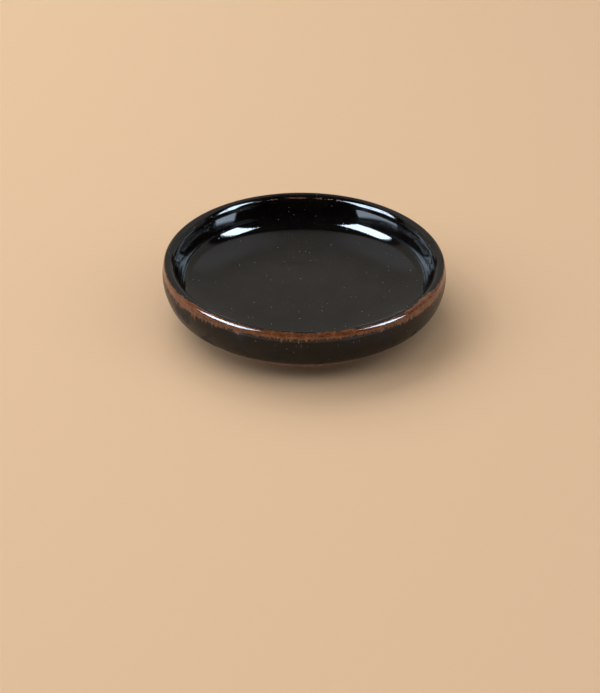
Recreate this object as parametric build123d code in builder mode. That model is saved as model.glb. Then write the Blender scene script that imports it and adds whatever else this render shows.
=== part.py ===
from build123d import *
import os
from math import atan2, cos, degrees, radians, sin, tan

# Soy sauce dish: a low round stoneware dish on a trimmed foot ring, under a dark glossy glaze.
# Millimetres, +Z up. The origin is the centre of the circle that the foot stands on.

# Overall size, over the glaze
rim_diameter = 95.0      # widest circle, a little below the lip
height = 20.4            # standing face to the top of the lip

# Lip and wall, over the glaze
widest_drop = 4.15       # top of the lip down to the widest circle
crest_inset = 2.0        # widest circle in to the highest line of the lip
lip_outer_round = 1.5
lip_inner_round = 2.2

# Well, over the glaze
floor_thickness = 3.3    # foot recess up to the middle of the well
floor_flat = 20.0        # radius of the level middle
floor_rise = 3.3         # level middle up to the edge of the dished floor
floor_slope = 22.0       # degrees, at that edge
well_cove = 6.0          # radius where the floor runs into the wall
well_lean = 4.0          # degrees, outward lean of the wall

# Outside, under the belly, over the glaze
belly_inset = 2.2        # widest circle in to the edge where the wall turns under
belly_height = 7.4       # that edge above the standing face
belly_round = 1.2

# Foot ring, bare clay
foot_inset = 11.5        # widest circle in to the outside of the foot
foot_width = 5.0
foot_height = 2.7
foot_round = 0.6
foot_throat = 0.8        # radius where the foot runs into the belly
recess_depth = 2.2       # standing face up to the glazed recess inside the ring
recess_round = 0.8

# Glaze coats
glaze = 0.4              # in the well, on the outside and in the foot recess
rim_glaze = 0.2          # over the lip, where it runs thin and turns brown
rim_band_inside = 1.6    # reach of the thin coat below the lip, inside
rim_band_outside = 3.0   # reach of the thin coat below the lip, outside
bare_outside = 1.9       # bare clay up the outside of the foot
bare_inside = 0.9        # bare clay up the inside of the foot

# Finished places that the clay and the coats share
rim_radius = rim_diameter / 2
widest_height = height - widest_drop
crest_radius = rim_radius - crest_inset
foot_outer = rim_radius - foot_inset
foot_inner = foot_outer - foot_width
inside_line = height - rim_band_inside
outside_line = height - rim_band_outside

# Clay surface, one coat under the finished one
clay_widest = rim_radius - glaze
clay_top = height - rim_glaze
clay_lip_inner = lip_inner_round - rim_glaze
clay_lip_outer = lip_outer_round - rim_glaze
clay_floor = recess_depth + floor_thickness - glaze
clay_cove = well_cove + glaze
clay_belly = clay_widest - belly_inset
clay_belly_height = belly_height + glaze
recess_top = recess_depth + glaze

# The outer side of the lip is two arcs that touch: the wall's large one, upright at the widest
# circle, and the shoulder's small one, level at the crest.
shoulder_run = clay_widest - crest_radius
shoulder_rise = clay_top - clay_lip_outer - widest_height
wall_arc = (shoulder_run**2 + shoulder_rise**2 - clay_lip_outer**2) / (2 * (shoulder_run - clay_lip_outer))
shoulder_angle = atan2(shoulder_rise, wall_arc - shoulder_run)
shoulder_centre = (crest_radius, clay_top - clay_lip_outer)
shoulder_start = (
    shoulder_centre[0] + clay_lip_outer * cos(shoulder_angle),
    shoulder_centre[1] + clay_lip_outer * sin(shoulder_angle),
)

# The inner side runs from the lip's round down the leaning wall, and the cove joins wall and floor.
lean = radians(well_lean)
slope = radians(floor_slope)
lip_centre = (crest_radius, clay_top - clay_lip_inner)
wall_top = (lip_centre[0] - clay_lip_inner * cos(lean), lip_centre[1] + clay_lip_inner * sin(lean))
edge_height = clay_floor + floor_rise
wall_foot_height = edge_height + clay_cove * (cos(slope) - sin(lean))
wall_foot = (wall_top[0] - (wall_top[1] - wall_foot_height) * tan(lean), wall_foot_height)
cove_centre = (wall_foot[0] - clay_cove * cos(lean), wall_foot[1] + clay_cove * sin(lean))


def inner_side(coat):
    """Draws the dish from the middle of the well to the top of the lip, a coat above the clay."""
    level = clay_floor + coat
    cove = clay_cove - coat
    lip = clay_lip_inner + coat
    edge = (cove_centre[0] + cove * sin(slope), cove_centre[1] - cove * cos(slope))
    third = (edge[0] - floor_flat) / 3
    Line((0, level), (floor_flat, level))
    Bezier(
        (floor_flat, level),
        (floor_flat + third, level),
        (edge[0] - third, edge[1] - third * tan(slope)),
        edge,
    )
    CenterArc(cove_centre, cove, floor_slope - 90, 90 - floor_slope - well_lean)
    Line(
        (cove_centre[0] + cove * cos(lean), cove_centre[1] - cove * sin(lean)),
        (lip_centre[0] - lip * cos(lean), lip_centre[1] + lip * sin(lean)),
    )
    CenterArc(lip_centre, lip, 90, 90 - well_lean)


# Half section of the clay, from the middle of the recess round to the middle of the well
with BuildSketch(Plane.XZ) as clay_section:
    with BuildLine():
        Polyline(
            (0, recess_top),
            (foot_inner, recess_top),
            (foot_inner, 0),
            (foot_outer, 0),
            (foot_outer, foot_height),
            (clay_belly, clay_belly_height),
        )
        TangentArc((clay_widest, widest_height), (clay_belly, clay_belly_height), tangent=(0, -1))
        TangentArc((clay_widest, widest_height), shoulder_start, tangent=(0, 1))
        CenterArc(shoulder_centre, clay_lip_outer, degrees(shoulder_angle), 90 - degrees(shoulder_angle))
        inner_side(0)
        Line((0, clay_floor), (0, recess_top))
    make_face()
    fillet(clay_section.vertices().group_by(Axis.Y)[0], foot_round)
    fillet(clay_section.vertices().sort_by_distance((foot_outer, foot_height))[0], foot_throat)
    fillet(clay_section.vertices().sort_by_distance((clay_belly, clay_belly_height))[0], belly_round - glaze)
    fillet(clay_section.vertices().sort_by_distance((foot_inner, recess_top))[0], recess_round + glaze)

# Sections of a full coat and of the thin rim coat, all the way round the clay
clay = clay_section.sketch_local
full_coat = offset(clay, amount=glaze) - clay
thin_coat = offset(clay, amount=rim_glaze) - clay

# Places in the middle of the clay, where one coat's zone parts from the next
foot_middle = ((foot_inner + foot_outer) / 2, (recess_top + clay_floor) / 2)
wall_middle = ((wall_foot[0] + clay_belly) / 2, edge_height)

# The fired clay: base, wall and foot ring in one piece, with a bare standing face
with BuildPart() as stoneware_body:
    with BuildSketch(Plane.XZ):
        add(clay)
    revolve(axis=Axis.Z)

# Glaze over the floor of the well and up its wall to the rim band
with BuildPart() as well_glaze:
    with BuildSketch(Plane.XZ):
        with BuildLine():
            inner_side(glaze)
            Polyline(
                (crest_radius, clay_top + glaze),
                wall_middle,
                foot_middle,
                (0, foot_middle[1]),
                (0, clay_floor + glaze),
            )
        make_face()
        add(clay, mode=Mode.SUBTRACT)
        Polygon(
            (0, 0),
            (rim_radius, 0),
            (rim_radius, inside_line),
            (0, inside_line),
            align=None,
            mode=Mode.INTERSECT,
        )
    revolve(axis=Axis.Z)

# Thin brown glaze over the lip, longer outside than inside
with BuildPart() as rim_band_glaze:
    with BuildSketch(Plane.XZ):
        add(thin_coat)
        Polygon(
            (0, inside_line),
            (crest_radius, inside_line),
            (crest_radius, outside_line),
            (rim_radius, outside_line),
            (rim_radius, height),
            (0, height),
            align=None,
            mode=Mode.INTERSECT,
        )
    revolve(axis=Axis.Z)

# Glaze down the outside, under the belly and on to the top of the foot
with BuildPart() as outer_glaze:
    with BuildSketch(Plane.XZ):
        add(full_coat)
        Polygon(
            (foot_middle[0], bare_outside),
            (rim_radius, bare_outside),
            (rim_radius, outside_line),
            (crest_radius, outside_line),
            wall_middle,
            foot_middle,
            align=None,
            mode=Mode.INTERSECT,
        )
    revolve(axis=Axis.Z)

# Glaze in the recess that the foot ring surrounds
with BuildPart() as foot_recess_glaze:
    with BuildSketch(Plane.XZ):
        add(full_coat)
        Polygon(
            (0, bare_inside),
            (foot_middle[0], bare_inside),
            foot_middle,
            (0, foot_middle[1]),
            align=None,
            mode=Mode.INTERSECT,
        )
    revolve(axis=Axis.Z)

stoneware_body.part.label = "stoneware_body"
well_glaze.part.label = "well_glaze"
rim_band_glaze.part.label = "rim_band_glaze"
outer_glaze.part.label = "outer_glaze"
foot_recess_glaze.part.label = "foot_recess_glaze"

os.makedirs("parts", exist_ok=True)
for piece in (stoneware_body, well_glaze, rim_band_glaze, outer_glaze, foot_recess_glaze):
    export_step(piece.part, f"parts/{piece.part.label}.step")
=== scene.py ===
from math import asin, atan, atan2, cos, hypot, pi, radians, sin, tan

import bpy
import numpy as np
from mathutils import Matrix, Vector


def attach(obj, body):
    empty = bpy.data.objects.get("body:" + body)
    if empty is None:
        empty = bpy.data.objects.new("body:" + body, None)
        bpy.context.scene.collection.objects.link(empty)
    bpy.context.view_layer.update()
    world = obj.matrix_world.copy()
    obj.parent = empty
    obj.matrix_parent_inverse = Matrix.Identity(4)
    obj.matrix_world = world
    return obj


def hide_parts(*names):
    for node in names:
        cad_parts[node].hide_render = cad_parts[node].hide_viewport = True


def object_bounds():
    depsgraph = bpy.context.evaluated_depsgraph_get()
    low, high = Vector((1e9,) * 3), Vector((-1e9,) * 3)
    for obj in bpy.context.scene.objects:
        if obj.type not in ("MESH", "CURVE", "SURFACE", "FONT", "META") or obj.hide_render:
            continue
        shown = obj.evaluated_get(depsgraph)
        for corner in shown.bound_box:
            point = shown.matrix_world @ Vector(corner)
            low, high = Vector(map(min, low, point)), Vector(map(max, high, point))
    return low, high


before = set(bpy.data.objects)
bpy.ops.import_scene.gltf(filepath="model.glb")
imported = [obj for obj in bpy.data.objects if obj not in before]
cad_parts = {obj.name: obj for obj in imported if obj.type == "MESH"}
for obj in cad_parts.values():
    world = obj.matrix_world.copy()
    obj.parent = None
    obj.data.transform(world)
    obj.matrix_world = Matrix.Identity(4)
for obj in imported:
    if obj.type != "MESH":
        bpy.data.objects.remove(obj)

# Soy sauce dish: bare stoneware under a dark glossy glaze that breaks to brown over the lip.
# The dish is in millimetres, in the frame of the CAD model, until a mesh is made.
# The floor, the lamps and the camera are in metres.
mm = 0.001
cad_low, cad_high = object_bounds()
rim_radius = cad_high.x / mm
height = cad_high.z / mm

# Lip and wall, over the glaze
widest_drop = 4.15
crest_inset = 2.0
lip_outer_round = 1.5
lip_inner_round = 2.2

# Well, over the glaze
floor_thickness = 3.3
floor_flat = 20.0
floor_rise = 3.3
floor_slope = radians(22.0)
well_cove = 6.0
well_lean = radians(4.0)

# Belly and foot
belly_inset = 2.2
belly_height = 7.4
belly_round = 1.2
foot_inset = 11.5
foot_width = 5.0
foot_height = 2.7
foot_round = 0.6
foot_throat = 0.8
recess_depth = 2.2
recess_round = 0.8

# Glaze coats
glaze = 0.4
rim_glaze = 0.2
rim_band_inside = 1.6
rim_band_outside = 3.0
bare_outside = 1.9
bare_inside = 0.9
thin_inside = 1.2        # from the crest inward, the reach of the thin coat
thicken_inside = 3.0     # beyond it, the length over which the coat grows to full
thin_outside = 2.0
thicken_outside = 6.0
thin_loss = 0.02         # how far the brown glaze lies below the dark one
glaze_roll = 0.5         # rounded end of a coat on the foot
roll_edge = 0.02         # least value under the root of the rounded end, so that it keeps a thickness

# Finish of the glaze
floor_satin = 0.13       # softness of the gloss on the floor of the well, where 1 is the outside
satin_reach = 3.2        # the soft gloss goes this far beyond the floor's edge, up the cove
satin_drop = 1.8         # from the crest outward to where the outside turns soft
satin_fade = 1.5
ripple_middle = 3.0      # up the cove from the edge of the floor
ripple_reach = 2.5

# Handmade unevenness
rim_lean = 1.1           # one side of the lip stands this much lower than the other
wobble = 0.12
wobble_cells = 6
trim_pitch = 0.55        # trimming lines on the foot
trim_depth = 0.03
trim_drift = 0.25        # share of the pitch by which the lines wander
trim_cells = 9
trim_fade = 0.4          # towards the ends of the coats
trim_rise = 0.05         # the lines are half as deep on the standing face, and full at half this height


# Outlines, as points in the half section (radius, height)

def straight(start, end, step=0.25):
    """Points from start towards end along a line."""
    count = max(2, int(hypot(end[0] - start[0], end[1] - start[1]) / step))
    part = np.linspace(0, 1, count, endpoint=False)[:, None]
    return np.array(start) * (1 - part) + np.array(end) * part


def arc(centre, radius, first, last, step=0.1):
    """Points on an arc from one angle towards another."""
    count = max(4, int(abs(last - first) * radius / step))
    turn = np.linspace(first, last, count, endpoint=False)
    return np.column_stack((centre[0] + radius * np.cos(turn), centre[1] + radius * np.sin(turn)))


def bend(start, corner, end, step=0.1):
    """Points round a corner from start towards end."""
    count = max(4, int(hypot(end[0] - start[0], end[1] - start[1]) / step))
    part = np.linspace(0, 1, count, endpoint=False)[:, None]
    ends = np.array(start) * (1 - part) ** 2 + np.array(end) * part**2
    return ends + np.array(corner) * 2 * part * (1 - part)


def sweep(start, end, slope, step=0.3):
    """Points on a curve that leaves start level and climbs to end, steepening to a slope."""
    run = end[0] - start[0]
    rise = end[1] - start[1]
    part = np.linspace(0, 1, int(run / step), endpoint=False)
    lift = rise * (3 * part**2 - 2 * part**3) + tan(slope) * run * (part**3 - part**2)
    return np.column_stack((start[0] + run * part, start[1] + lift))


def towards(corner, other, reach):
    """The point reach away from a corner, on the way to another point."""
    run = np.array(other) - np.array(corner)
    return np.array(corner) + run * reach / np.hypot(*run)


# The clay, one coat under the finished surface
clay_widest = rim_radius - glaze
widest_height = height - widest_drop
clay_top = height - rim_glaze
crest = (rim_radius - crest_inset, clay_top)

# Inside of the lip, leaning wall, cove and dished floor
inner_round = lip_inner_round - rim_glaze
inner_centre = (crest[0], clay_top - inner_round)
wall_top = (inner_centre[0] - inner_round * cos(well_lean), inner_centre[1] + inner_round * sin(well_lean))
clay_floor = recess_depth + floor_thickness - glaze
cove = well_cove + glaze
edge_height = clay_floor + floor_rise
wall_foot_height = edge_height + cove * (cos(floor_slope) - sin(well_lean))
wall_foot = (wall_top[0] - (wall_top[1] - wall_foot_height) * tan(well_lean), wall_foot_height)
cove_centre = (wall_foot[0] - cove * cos(well_lean), wall_foot_height + cove * sin(well_lean))
floor_edge = (cove_centre[0] + cove * sin(floor_slope), edge_height)

# Outside of the lip: two arcs that touch
outer_round = lip_outer_round - rim_glaze
shoulder_centre = (crest[0], clay_top - outer_round)
shoulder_run = clay_widest - crest[0]
shoulder_rise = shoulder_centre[1] - widest_height
wall_arc = (shoulder_run**2 + shoulder_rise**2 - outer_round**2) / (2 * (shoulder_run - outer_round))
shoulder_angle = atan2(shoulder_rise, wall_arc - shoulder_run)

# Wall down to the belly's edge
belly = (clay_widest - belly_inset, belly_height + glaze)
belly_drop = widest_height - belly[1]
belly_arc = (belly_inset**2 + belly_drop**2) / (2 * belly_inset)
belly_angle = -asin((belly_drop - belly_round) / belly_arc)
wall_to_belly = arc((clay_widest - belly_arc, widest_height), belly_arc, 0.0, belly_angle)

# Corners of the foot ring and recess, and the ends of their rounds
foot_outer = rim_radius - foot_inset
foot_inner = foot_outer - foot_width
throat = (foot_outer, foot_height)
foot_toe = (foot_outer, 0.0)
foot_heel = (foot_inner, 0.0)
recess_corner = (foot_inner, recess_depth + glaze)
recess_middle = (0.0, recess_corner[1])
belly_end = towards(belly, throat, belly_round)
throat_start = towards(throat, belly, foot_throat)
throat_end = towards(throat, foot_toe, foot_throat)
toe_start = towards(foot_toe, throat, foot_round)
toe_end = towards(foot_toe, foot_heel, foot_round)
heel_start = towards(foot_heel, foot_toe, foot_round)
heel_end = towards(foot_heel, recess_corner, foot_round)
recess_start = towards(recess_corner, foot_heel, recess_round)
recess_end = towards(recess_corner, recess_middle, recess_round)

inside = np.vstack((
    straight((0.0, clay_floor), (floor_flat, clay_floor)),
    sweep((floor_flat, clay_floor), floor_edge, floor_slope),
    arc(cove_centre, cove, floor_slope - pi / 2, -well_lean),
    straight(wall_foot, wall_top),
    arc(inner_centre, inner_round, pi - well_lean, pi / 2),
))
outside = np.vstack((
    arc(shoulder_centre, outer_round, pi / 2, shoulder_angle),
    arc((clay_widest - wall_arc, widest_height), wall_arc, shoulder_angle, 0.0),
    wall_to_belly[:-1],
    bend(wall_to_belly[-1], belly, belly_end),
    straight(belly_end, throat_start),
    bend(throat_start, throat, throat_end),
    straight(throat_end, toe_start),
    bend(toe_start, foot_toe, toe_end),
))
under = np.vstack((
    straight(toe_end, heel_start),
    bend(heel_start, foot_heel, heel_end),
    straight(heel_end, recess_start),
    bend(recess_start, recess_corner, recess_end),
    straight(recess_end, recess_middle),
    [recess_middle],
))

# One outline from the middle of the well, over the lip, to the middle of the recess
outline = np.vstack((inside, outside, under))
steps = np.hypot(*np.diff(outline, axis=0).T)
station = np.concatenate(([0.0], np.cumsum(steps)))
tangent = np.gradient(outline, station, axis=0)
tangent /= np.hypot(*tangent.T)[:, None]
normal = np.column_stack((-tangent[:, 1], tangent[:, 0]))
crest_at = station[len(inside)]
floor_edge_at = float(np.interp(floor_edge[0], inside[:, 0], station[: len(inside)]))
foot_at = station[len(inside) + len(outside)]
end_at = station[-1]


def station_at(level, first, last):
    """Where the outline between two stations, which only climbs or only falls, passes a height."""
    part = (station >= first) & (station <= last)
    order = np.argsort(outline[part, 1])
    return float(np.interp(level, outline[part, 1][order], station[part][order]))


inside_at = station_at(height - rim_band_inside, station[len(inside) // 2], crest_at)
outside_at = station_at(height - rim_band_outside, crest_at, foot_at)
bare_outside_at = station_at(bare_outside, crest_at, foot_at)
bare_inside_at = station_at(bare_inside, foot_at + foot_width / 2, end_at - foot_inner / 2)


# Unevenness that repeats exactly on every run

def ring_noise(angle, cells, seed):
    """Smooth noise from -1 to 1 round the dish, in a given number of cells."""
    values = np.random.default_rng(seed).uniform(-1, 1, cells)
    place = np.mod(angle / (2 * pi), 1) * cells
    cell = np.floor(place).astype(int)
    ease = (place - cell) ** 2 * (3 - 2 * (place - cell))
    return values[cell % cells] * (1 - ease) + values[(cell + 1) % cells] * ease


def sheet_noise(angle, along, cells, pitch, seed, rows=64):
    """Smooth noise from -1 to 1 over a turned surface: cells round it, pitch apart along it."""
    values = np.random.default_rng(seed).uniform(-1, 1, (cells, rows))
    across = np.mod(angle / (2 * pi), 1) * cells
    up = np.mod(along / pitch, rows)
    i, j = np.floor(across).astype(int), np.floor(up).astype(int)
    u = (across - i) ** 2 * (3 - 2 * (across - i))
    v = (up - j) ** 2 * (3 - 2 * (up - j))
    low = values[i % cells, j % rows] * (1 - u) + values[(i + 1) % cells, j % rows] * u
    high = values[i % cells, (j + 1) % rows] * (1 - u) + values[(i + 1) % cells, (j + 1) % rows] * u
    return low * (1 - v) + high * v


def smooth(value):
    """Eases from 0 to 1."""
    value = np.clip(value, 0, 1)
    return value * value * (3 - 2 * value)


def eased(turn, change):
    """Eases from 0 to 1 over a change, given as its start and its length."""
    start, length = change
    return smooth((turn - start) / length)


# Where the glaze runs thin and brown. Lengths go outward from the crest of the lip.
# Turns are degrees to either side of the front: each pair is where a change starts, and its length.
brown_middle = 4.0           # middle of the band's front, to the right
brown_start_front = 0.45
brown_start_sides = 1.15
brown_start_turn = (42.0, 40.0)
brown_start_fade = 0.9
brown_end_front = 2.4
brown_end_sides = 3.5
brown_end_turn = (15.0, 50.0)
brown_end_fade = 1.4
edge_cells = 150             # for the wandering of the band's upper edge and of the line inside
edge_swing = 0.2
drip_place = 58.0            # to the right, where one patch of brown climbs on to the lip
drip_spread = 8.0
drip_climb = 0.9
tooth_length = 0.8           # the ragged lower edge
teeth_wide = 340             # cells round the dish
teeth_narrow = 640
teeth_front = 0.6            # share of the length
teeth_sides = 0.8            # share added at the sides
teeth_turn = (10.0, 40.0)
clump_cells = 70             # stretches of longer and shorter teeth
clump_mean = 0.8
clump_swing = 0.6
line_place = 2.0             # inside the crest, a thin broken line at the back
line_turn = (95.0, 45.0)
line_level = -0.4
line_gain = 0.3
line_swing = 0.25
run_cells = 700              # short separate runs below the band
run_length = 2.6
run_middle = 4.4
run_reach = 1.2
run_gain = 0.5
run_level = -0.52


def brown_band(out, turn, angle):
    """Above 0 in the brown band, with its wandering upper edge and toothed lower one."""
    aside = np.abs(turn - brown_middle)
    wide = np.maximum(ring_noise(angle, teeth_wide, seed=1), 0)
    narrow = np.maximum(ring_noise(angle, teeth_narrow, seed=2), 0)
    teeth = tooth_length * (wide + narrow) * (teeth_front + teeth_sides * eased(aside, teeth_turn))
    teeth = teeth * (clump_mean + clump_swing * ring_noise(angle, clump_cells, seed=4))
    end = brown_end_front + (brown_end_sides - brown_end_front) * eased(aside, brown_end_turn) + teeth
    start = brown_start_front + (brown_start_sides - brown_start_front) * eased(aside, brown_start_turn)
    start = start - drip_climb * np.exp(-(((turn - drip_place) / drip_spread) ** 2))
    start = start + edge_swing * ring_noise(angle, edge_cells, seed=5)
    return np.minimum((end - out) / brown_end_fade, (out - start) / brown_start_fade)


def brown_line(out, turn, angle):
    """Above 0 in the thin broken line inside the lip."""
    line = line_gain * eased(np.abs(turn), line_turn)
    line = line + line_swing * ring_noise(angle, edge_cells, seed=7)
    return line + line_level - np.abs(out + line_place)


def brown_runs(out, angle):
    """Above 0 in the short runs below the band."""
    runs = run_gain * sheet_noise(angle, out, run_cells, run_length, seed=11) + run_level
    return runs - np.maximum(np.abs(out - run_middle) - run_reach, 0)


def thin_glaze(at, angle):
    """How brown the glaze is, from 0 to 1: over the outside of the lip, down to ragged runs."""
    out = at - crest_at
    turn = np.mod(np.degrees(angle) + 180, 360) - 180
    band = np.maximum(brown_band(out, turn, angle), brown_line(out, turn, angle))
    return np.clip(0.5 + np.maximum(band, brown_runs(out, angle)), 0, 1)


def coat_depth(at, thin):
    """Glaze over the clay: full on the walls, slighter over the lip, rolled off at the bare foot."""
    growth_inside = (crest_at - at - thin_inside) / thicken_inside
    growth_outside = (at - crest_at - thin_outside) / thicken_outside
    full = rim_glaze + (glaze - rim_glaze) * smooth(np.where(at < crest_at, growth_inside, growth_outside))
    loss = np.where(at < crest_at, 0.0, thin_loss * thin)
    inset = np.minimum(np.abs(at - bare_outside_at), np.abs(at - bare_inside_at))
    bulge = 1 - (1 - np.clip(inset / glaze_roll, 0, 1)) ** 2
    return (full - loss) * np.sqrt(np.clip(bulge, roll_edge, 1))


def satin(at):
    """How soft the gloss is, from 0 to 1: a little on the floor of the well, fully below the lip outside."""
    well_floor = floor_satin * smooth((floor_edge_at + satin_reach - at) / satin_fade)
    below_lip = smooth((at - crest_at - satin_drop) / satin_fade)
    return np.maximum(well_floor, below_lip)


def ripples(at):
    """How rippled the glaze is, from 0 to 1: in the cove, where it pooled."""
    return smooth(1 - np.abs(at - floor_edge_at - ripple_middle) / ripple_reach)


def place(at, depth, angle):
    """Points of the turned surface, depth above the clay, with the lean and wobble of handwork."""
    radius = np.interp(at, station, outline[:, 0]) + depth * np.interp(at, station, normal[:, 0])
    level = np.interp(at, station, outline[:, 1]) + depth * np.interp(at, station, normal[:, 1])
    raised = level / height
    inward = wobble * raised * (1 + ring_noise(angle, wobble_cells, seed=9)) / 2
    radius = radius - inward * np.minimum(radius / rim_radius, 1)
    x = radius * np.sin(angle)
    level = level - rim_lean * raised * (x / rim_radius + 1) / 2
    return np.stack((x, -radius * np.cos(angle), level), axis=-1)


# Meshes
sharp_edge = radians(50)
back_skip = 6            # the back of a coat has one row for this many on its face


def ring_faces(first, second):
    """Quads between two rows of vertex numbers."""
    return np.stack((first, second, np.roll(second, -1, axis=-1), np.roll(first, -1, axis=-1)), axis=-1)


def turned_piece(name, rows, layers, loop):
    """A piece from rows of rings. A loop closes on itself, and other pieces end in two poles."""
    count, segments = rows.shape[:2]
    if loop:
        chosen = np.arange(count * segments)
        number = np.arange(count * segments).reshape(count, segments)
        faces = ring_faces(number, np.roll(number, -1, axis=0)).reshape(-1, 4).tolist()
    else:
        last_row = (count - 1) * segments
        chosen = np.concatenate(([0], np.arange(segments, last_row), [last_row]))
        number = np.arange(1, 1 + (count - 2) * segments).reshape(count - 2, segments)
        faces = ring_faces(number[:-1], number[1:]).reshape(-1, 4).tolist()
        last = len(chosen) - 1
        faces += [(0, a, b) for a, b in zip(number[0], np.roll(number[0], -1))]
        faces += [(last, b, a) for a, b in zip(number[-1], np.roll(number[-1], -1))]
    mesh = bpy.data.meshes.new(name)
    mesh.from_pydata((rows.reshape(-1, 3)[chosen] * mm).tolist(), [], faces)
    for key, values in layers.items():
        layer = mesh.attributes.new(key, "FLOAT", "POINT")
        layer.data.foreach_set("value", values.reshape(-1)[chosen].astype(np.float32))
    mesh.shade_smooth()
    mesh.set_sharp_from_angle(angle=sharp_edge)
    piece = bpy.data.objects.new(name, mesh)
    bpy.context.collection.objects.link(piece)
    return piece


def stations(*runs):
    """Stations along the outline, from (first, last, step) runs that follow each other."""
    parts = []
    for first, last, step in runs:
        parts.append(np.linspace(first, last, max(2, int(abs(last - first) / step)), endpoint=False))
    return np.concatenate((*parts, [runs[-1][1]]))


def coat(name, at, segments, loop):
    """A closed glaze coat: its finished face, and its back on the clay with fewer rows."""
    angle = np.linspace(0, 2 * pi, segments, endpoint=False)[None, :]
    at = at[:, None] + 0 * angle
    thin = thin_glaze(at, angle)
    face = place(at, coat_depth(at, thin), angle)
    back_at = at[::-back_skip]
    if len(at) % back_skip != 1:
        back_at = np.vstack((back_at, at[:1]))
    rows = np.vstack((face, place(back_at, 0.0, angle)))
    both = np.vstack((at, back_at))
    layers = {"thin": np.vstack((thin, 0 * back_at)), "satin": satin(both), "ripple": ripples(both)}
    return turned_piece(name, rows, layers, loop)


def clay_piece(name, at, segments):
    """The fired clay, with trimming lines where the foot is bare."""
    angle = np.linspace(0, 2 * pi, segments, endpoint=False)[None, :]
    at = at[:, None] + 0 * angle
    bare = smooth((at - bare_outside_at) / trim_fade) * smooth((bare_inside_at - at) / trim_fade)
    drift = trim_drift * ring_noise(angle, trim_cells, seed=10)
    lines = trim_depth * bare * (np.cos(2 * pi * (at / trim_pitch + drift)) - 1) / 2
    level = np.interp(at, station, outline[:, 1])
    lines = lines * smooth(level / trim_rise + 0.5)
    return turned_piece(name, place(at, lines, angle), {}, loop=False)


# Rows are close where the surface is ragged, rippled, rolled or trimmed, and wider apart elsewhere
plain_step = 0.8
hidden_step = 1.6
wall_step = 0.22
lip_step = 0.13
fringe_step = 0.14
roll_step = 0.1
trim_step = 0.09
ragged_ring = 1400       # segments round a piece
well_ring = 720
recess_ring = 360
clay_ring = 480
close_wall = 12.0        # stretch of close rows below the lip, inside
close_fringe = 2.5       # and outside
close_roll = 0.8         # and at a rolled end
cove_at = inside_at - close_wall
fringe_end = outside_at + close_fringe
roll_at = bare_outside_at - close_roll
recess_roll_at = bare_inside_at + close_roll

well = coat(
    "well_glaze_coat",
    stations((0.0, cove_at, plain_step), (cove_at, inside_at, wall_step)),
    well_ring,
    loop=False,
)
rim = coat("rim_glaze_coat", stations((inside_at, outside_at, lip_step)), ragged_ring, loop=True)
outer = coat(
    "outer_glaze_coat",
    stations(
        (outside_at, fringe_end, fringe_step),
        (fringe_end, roll_at, plain_step),
        (roll_at, bare_outside_at, roll_step),
    ),
    ragged_ring,
    loop=True,
)
recess = coat(
    "recess_glaze_coat",
    stations((end_at, recess_roll_at, plain_step), (recess_roll_at, bare_inside_at, roll_step)),
    recess_ring,
    loop=False,
)
clay = clay_piece(
    "stoneware_clay",
    stations(
        (0.0, roll_at, hidden_step),
        (roll_at, recess_roll_at, trim_step),
        (recess_roll_at, end_at, hidden_step),
    ),
    clay_ring,
)


# Materials

def add(tree, kind, inputs=None, **settings):
    """A shader node with its settings, and its inputs as values or links."""
    made = tree.nodes.new(kind)
    for key, value in settings.items():
        setattr(made, key, value)
    for key, value in (inputs or {}).items():
        if isinstance(value, bpy.types.NodeSocket):
            tree.links.new(value, made.inputs[key])
        else:
            made.inputs[key].default_value = value
    return made


def ramp(tree, factor, *stops):
    """A colour ramp from (position, (red, green, blue)) stops."""
    made = add(tree, "ShaderNodeValToRGB", {"Fac": factor})
    elements = made.color_ramp.elements
    for element, (position, colour) in zip(elements, stops):
        element.position = position
        element.color = (*colour, 1)
    for position, colour in stops[2:]:
        elements.new(position).color = (*colour, 1)
    return made.outputs["Color"]


def spread(tree, value, low, high):
    """A value eased from 0 at low to 1 at high."""
    made = add(
        tree,
        "ShaderNodeMapRange",
        {"Value": value, "From Min": low, "From Max": high},
        interpolation_type="SMOOTHSTEP",
    )
    return made.outputs["Result"]


def calc(tree, operation, first, second):
    """The result of an operation on two values."""
    return add(tree, "ShaderNodeMath", {0: first, 1: second}, operation=operation).outputs[0]


def times(tree, first, second):
    """The product of two values."""
    return calc(tree, "MULTIPLY", first, second)


def total(tree, first, *others):
    """The sum of values."""
    for other in others:
        first = calc(tree, "ADD", first, other)
    return first


def mix(tree, factor, first, second):
    """A mix of two colours."""
    made = add(tree, "ShaderNodeMix", {"Factor": factor, 6: first, 7: second}, data_type="RGBA")
    return made.outputs[2]


def grain(tree, where, size, detail):
    """Noise from 0 to 1 with spots of a size in millimetres."""
    made = add(tree, "ShaderNodeTexNoise", {"Vector": where, "Scale": 1 / (size * mm), "Detail": detail})
    return made.outputs["Fac"]


def painted(tree, key):
    """A value that the mesh holds at each point."""
    return add(tree, "ShaderNodeAttribute", attribute_name=key).outputs["Fac"]


def new_material(name):
    """A node material with its tree, shader and object coordinates."""
    made = bpy.data.materials.new(name)
    made.use_nodes = True
    tree = made.node_tree
    where = add(tree, "ShaderNodeTexCoord").outputs["Object"]
    return made, tree, tree.nodes["Principled BSDF"], where


def bumpy(tree, shader, rise, depth):
    """Gives a shader the relief of a value, where 1 stands depth millimetres high."""
    bump = add(tree, "ShaderNodeBump", {"Height": rise, "Strength": 1.0, "Distance": depth * mm})
    tree.links.new(bump.outputs["Normal"], shader.inputs["Normal"])


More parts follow.
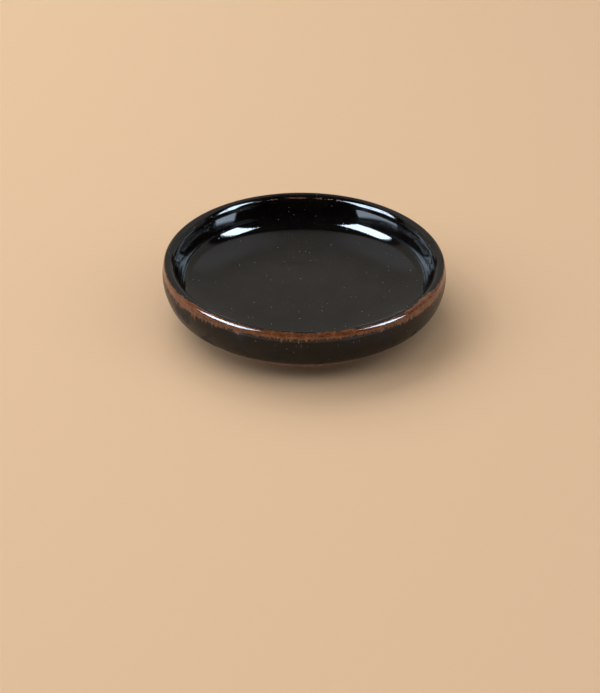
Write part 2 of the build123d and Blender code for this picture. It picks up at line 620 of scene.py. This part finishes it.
def specks(tree, where, pitch, size, share):
    """Sparse round specks: 1 in a speck and 0 elsewhere."""
    cells = add(tree, "ShaderNodeTexVoronoi", {"Vector": where, "Scale": 1 / (pitch * mm)})
    dots = spread(tree, cells.outputs["Distance"], size / pitch, 0.5 * size / pitch)
    chosen = add(tree, "ShaderNodeSeparateColor", {"Color": cells.outputs["Color"]}).outputs["Red"]
    return times(tree, dots, calc(tree, "LESS_THAN", chosen, share))


# Glaze: sizes in millimetres, shares from 0 to 1
streak_size = 0.38           # streaks that break up the edge of the brown
streak_stretch = (1.0, 1.0, 0.16)
raggedness = 1.7
brown_edge = (0.44, 0.56)
rust_fine = 0.28
rust_patch = 1.6
rust_fine_share = 0.6
rust_patch_share = 0.4
rust_stops = (
    (0.32, (0.045, 0.013, 0.006)),
    (0.72, (0.350, 0.145, 0.070)),
    (0.50, (0.155, 0.054, 0.021)),
)
dark_patch = 7.0
dark_stops = ((0.35, (0.0028, 0.0022, 0.0018)), (0.7, (0.0062, 0.0050, 0.0040)))
# Painted glints: pale specks lighten the colour where small bumps of the glaze would catch light, and
# pale_rise gives them a little real relief
painted_glint_specks = {"pitch": 1.9, "size": 0.20, "share": 0.34}
painted_glint_colour = (0.32, 0.30, 0.27, 1)
painted_glint_share = 0.7
dust_specks = {"pitch": 0.7, "size": 0.13, "share": 0.25}
dust_colour = (0.16, 0.14, 0.12, 1)
dust_share = 0.4
least_rough = 0.05
satin_rough = 0.28           # added where the gloss is soft
worn_size = 9.0              # duller patches in the soft gloss
worn_edge = (0.52, 0.66)
worn_rough = 0.25
brown_rough = 0.02
peel_size = 1.4              # faint unevenness all over
peel_rise = 0.06
ripple_size = 0.5
pale_rise = 0.5
relief = 0.018               # height where the values of the relief add up to 1
black_refraction = 1.58
outside_refraction = 1.34
rim_refraction = 1.52


def glaze_material(name, refraction):
    """Dark iron glaze that breaks to brown where the coat is thin."""
    made, tree, shader, where = new_material(name)
    soft = painted(tree, "satin")
    fine = grain(tree, where, rust_fine, detail=3.0)
    patch = grain(tree, where, rust_patch, detail=3.0)
    # pale is the mask of the painted-glint specks
    pale = specks(tree, where, **painted_glint_specks)
    dust = specks(tree, where, **dust_specks)

    drawn = add(tree, "ShaderNodeVectorMath", {0: where, 1: streak_stretch}, operation="MULTIPLY").outputs[0]
    streak = calc(tree, "SUBTRACT", grain(tree, drawn, streak_size, detail=4.0), 0.5)
    ragged = total(tree, painted(tree, "thin"), times(tree, streak, raggedness))
    brown = spread(tree, ragged, *brown_edge)

    mottle = total(tree, times(tree, patch, rust_patch_share), times(tree, fine, rust_fine_share))
    rust = ramp(tree, mottle, *rust_stops)
    dark = ramp(tree, grain(tree, where, dark_patch, detail=4.0), *dark_stops)
    colour = mix(tree, brown, dark, rust)
    colour = mix(tree, times(tree, dust, dust_share), colour, dust_colour)
    # painted glints: the pale specks lighten the colour
    colour = mix(tree, times(tree, pale, painted_glint_share), colour, painted_glint_colour)
    tree.links.new(colour, shader.inputs["Base Color"])

    worn = times(tree, spread(tree, grain(tree, where, worn_size, detail=3.0), *worn_edge), soft)
    rough = total(
        tree,
        times(tree, soft, satin_rough),
        least_rough,
        times(tree, worn, worn_rough),
        times(tree, brown, brown_rough),
    )
    tree.links.new(rough, shader.inputs["Roughness"])
    shader.inputs["IOR"].default_value = refraction

    rise = total(
        tree,
        times(tree, grain(tree, where, peel_size, detail=1.0), peel_rise),
        times(tree, painted(tree, "ripple"), grain(tree, where, ripple_size, detail=1.0)),
        times(tree, pale, pale_rise),
        times(tree, brown, total(tree, fine, patch)),
    )
    bumpy(tree, shader, rise, relief)
    return made


# Clay
clay_patch = 1.1
clay_stops = ((0.30, (0.400, 0.215, 0.120)), (0.70, (0.600, 0.380, 0.240)))
iron_specks = {"pitch": 1.3, "size": 0.22, "share": 0.3}
iron_colour = (0.05, 0.025, 0.014, 1)
clay_rough = 0.85
sand_size = 0.25
sand_relief = 0.05


def clay_material(name):
    """Bare fired stoneware, tan with grog and iron specks."""
    made, tree, shader, where = new_material(name)
    body = ramp(tree, grain(tree, where, clay_patch, detail=5.0), *clay_stops)
    iron = specks(tree, where, **iron_specks)
    tree.links.new(mix(tree, iron, body, iron_colour), shader.inputs["Base Color"])
    shader.inputs["Roughness"].default_value = clay_rough
    bumpy(tree, shader, grain(tree, where, sand_size, detail=4.0), sand_relief)
    return made


dark_glaze = glaze_material("black_glaze", black_refraction)
outside_glaze = glaze_material("outside_glaze", outside_refraction)
lip_glaze = glaze_material("rim_glaze", rim_refraction)
stoneware = clay_material("stoneware")

for piece, node, slot, material in (
    (well, "well_glaze", "black_glaze", dark_glaze),
    (rim, "rim_band_glaze", "rim_glaze", lip_glaze),
    (outer, "outer_glaze", "black_glaze", outside_glaze),
    (recess, "foot_recess_glaze", "black_glaze", outside_glaze),
    (clay, "stoneware_body", "stoneware", stoneware),
):
    piece.data.materials.append(material)
    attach(piece, "root")
    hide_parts(node)


# Floor
backdrop = (0.67, 0.485, 0.32, 1)
floor_colour = (0.72, 0.52, 0.345, 1)
black = (0, 0, 0, 1)
floor_half = 3.0
floor_fade = (0.33, 0.85)    # distances from the dish between which it turns into the backdrop
floor_rough = 0.95
floor_specular = 0.1


def make_floor():
    """A plain pale floor, which far from the dish takes the colour of the backdrop."""
    mesh = bpy.data.meshes.new("floor")
    corners = [(x * floor_half, y * floor_half, 0) for x, y in ((-1, -1), (1, -1), (1, 1), (-1, 1))]
    mesh.from_pydata(corners, [], [(0, 1, 2, 3)])
    floor = bpy.data.objects.new("floor", mesh)
    bpy.context.collection.objects.link(floor)
    made, tree, shader, where = new_material("floor")
    distance = add(tree, "ShaderNodeVectorMath", {0: where}, operation="LENGTH").outputs["Value"]
    far = spread(tree, distance, *floor_fade)
    tree.links.new(mix(tree, far, floor_colour, black), shader.inputs["Base Color"])
    shader.inputs["Roughness"].default_value = floor_rough
    shader.inputs["Specular IOR Level"].default_value = floor_specular
    shader.inputs["Emission Color"].default_value = backdrop
    path = add(tree, "ShaderNodeLightPath").outputs
    mirrored = calc(tree, "MAXIMUM", path["Is Glossy Ray"], path["Is Transmission Ray"])
    seen = calc(tree, "MAXIMUM", path["Is Camera Ray"], mirrored)
    tree.links.new(times(tree, far, seen), shader.inputs["Emission Strength"])
    mesh.materials.append(made)


# World: a pale studio behind the dish. Turns go from straight behind, to the side or upward.
# Each pair is where a part has faded out and where it is full.
studio_top = (radians(77), radians(67))
studio_side = (radians(100), radians(75))
studio_light = (0.335, 0.312, 0.28, 1)
room_light = (0.012, 0.013, 0.015, 1)
gap_near = (radians(24), radians(26))    # one dark strip on each side of the studio
gap_far = (radians(33), radians(31))
gap_top = (0.32, 0.26)                   # by the height of a ray of length 1
glow_direction = (0.40, 0.50, 0.77)      # a soft bright spot on each side
glow_edge = (0.93, 0.985)
glow_light = (0.50, 0.50, 0.51, 1)


def make_world():
    """A pale studio behind the dish and a dark room in front of it, which the glaze mirrors."""
    world = bpy.data.worlds.new("studio")
    bpy.context.scene.world = world
    world.use_nodes = True
    tree = world.node_tree
    ray = add(tree, "ShaderNodeTexCoord").outputs["Generated"]
    axes = add(tree, "ShaderNodeSeparateXYZ", {"Vector": ray})
    x, y, z = (axes.outputs[key] for key in "XYZ")
    across = calc(tree, "ABSOLUTE", x, 0.0)
    upward = calc(tree, "ARCTAN2", z, y)
    sideways = calc(tree, "ARCTAN2", across, y)
    behind = times(tree, spread(tree, upward, *studio_top), spread(tree, sideways, *studio_side))
    strip = times(tree, spread(tree, sideways, *gap_near), spread(tree, sideways, *gap_far))
    gap = times(tree, strip, spread(tree, z, *gap_top))
    pale = times(tree, behind, calc(tree, "SUBTRACT", 1.0, gap))
    room = mix(tree, pale, room_light, studio_light)
    folded = add(tree, "ShaderNodeCombineXYZ", {"X": across, "Y": y, "Z": z}).outputs[0]
    facing = add(tree, "ShaderNodeVectorMath", {0: folded, 1: glow_direction}, operation="DOT_PRODUCT")
    glow = spread(tree, facing.outputs["Value"], *glow_edge)
    light = mix(tree, glow, room, glow_light)
    path = add(tree, "ShaderNodeLightPath").outputs
    seen = calc(tree, "MAXIMUM", path["Is Camera Ray"], path["Is Transmission Ray"])
    shown = mix(tree, seen, light, backdrop)
    tree.links.new(shown, tree.nodes["Background"].inputs["Color"])


# Lamps
lamp_distance = 1.2
window = (0.66, 0.82, 1.0)
warm = (1.0, 0.97, 0.93)
fill = (1.0, 0.90, 0.78)


def softbox(name, azimuth, elevation, size, radiance, colour):
    """A rectangular lamp that looks at the dish. Azimuth goes from the front to the right, in degrees."""
    width, tall = size
    lamp = bpy.data.lights.new(name, "AREA")
    lamp.shape = "RECTANGLE"
    lamp.size = width
    lamp.size_y = tall
    lamp.energy = radiance * pi * width * tall
    lamp.color = colour
    made = bpy.data.objects.new(name, lamp)
    turn, rise = radians(azimuth), radians(elevation)
    away = Vector((sin(turn) * cos(rise), -cos(turn) * cos(rise), sin(rise)))
    made.location = away * lamp_distance
    made.rotation_euler = (-away).to_track_quat("-Z", "Y").to_euler()
    bpy.context.collection.objects.link(made)
    return made


make_floor()
make_world()

# Two windows that show only as reflections, and softboxes that light the dish and the floor
windows = (
    softbox("window_left", azimuth=-67, elevation=36.2, size=(0.79, 0.77), radiance=27, colour=window),
    softbox("window_right", azimuth=72.5, elevation=34.8, size=(0.38, 0.82), radiance=27, colour=window),
)
for lamp in windows:
    lamp.visible_diffuse = False
softboxes = (
    softbox("left", azimuth=-80, elevation=36, size=(0.9, 0.9), radiance=2.45, colour=warm),
    softbox("right", azimuth=75, elevation=36, size=(0.9, 0.9), radiance=1.25, colour=warm),
    softbox("front", azimuth=0, elevation=12, size=(1.2, 0.4), radiance=0.7, colour=fill),
    softbox("top", azimuth=0, elevation=75, size=(1.2, 1.2), radiance=0.8, colour=fill),
    softbox("back", azimuth=-146, elevation=48, size=(1.2, 0.9), radiance=2.5, colour=warm),
)
for lamp in softboxes:
    lamp.visible_glossy = False


# Camera
photo_width, photo_height = 600, 693
dish_pixel = (304.9, 268.1)          # where the middle of the widest circle stands in the photograph
focal_pixels = 1702.0
view_rise = radians(30.8)
view_distance = 0.570
view_near = 0.01
middle = Vector((0, 0, 0.0159))      # of the widest circle, halfway along its lean

camera = bpy.data.objects.new("camera", bpy.data.cameras.new("camera"))
bpy.context.collection.objects.link(camera)
camera.data.sensor_fit = "HORIZONTAL"
camera.data.lens = focal_pixels * camera.data.sensor_width / photo_width
camera.data.clip_start = view_near
camera.location = middle + view_distance * Vector((0, -cos(view_rise), sin(view_rise)))
pitch = view_rise + atan((photo_height / 2 - dish_pixel[1]) / focal_pixels)
yaw = atan((dish_pixel[0] - photo_width / 2) / focal_pixels)
camera.rotation_euler = (pi / 2 - pitch, 0, yaw)
bpy.context.scene.camera = camera
bpy.context.scene.view_settings.view_transform = "Standard"
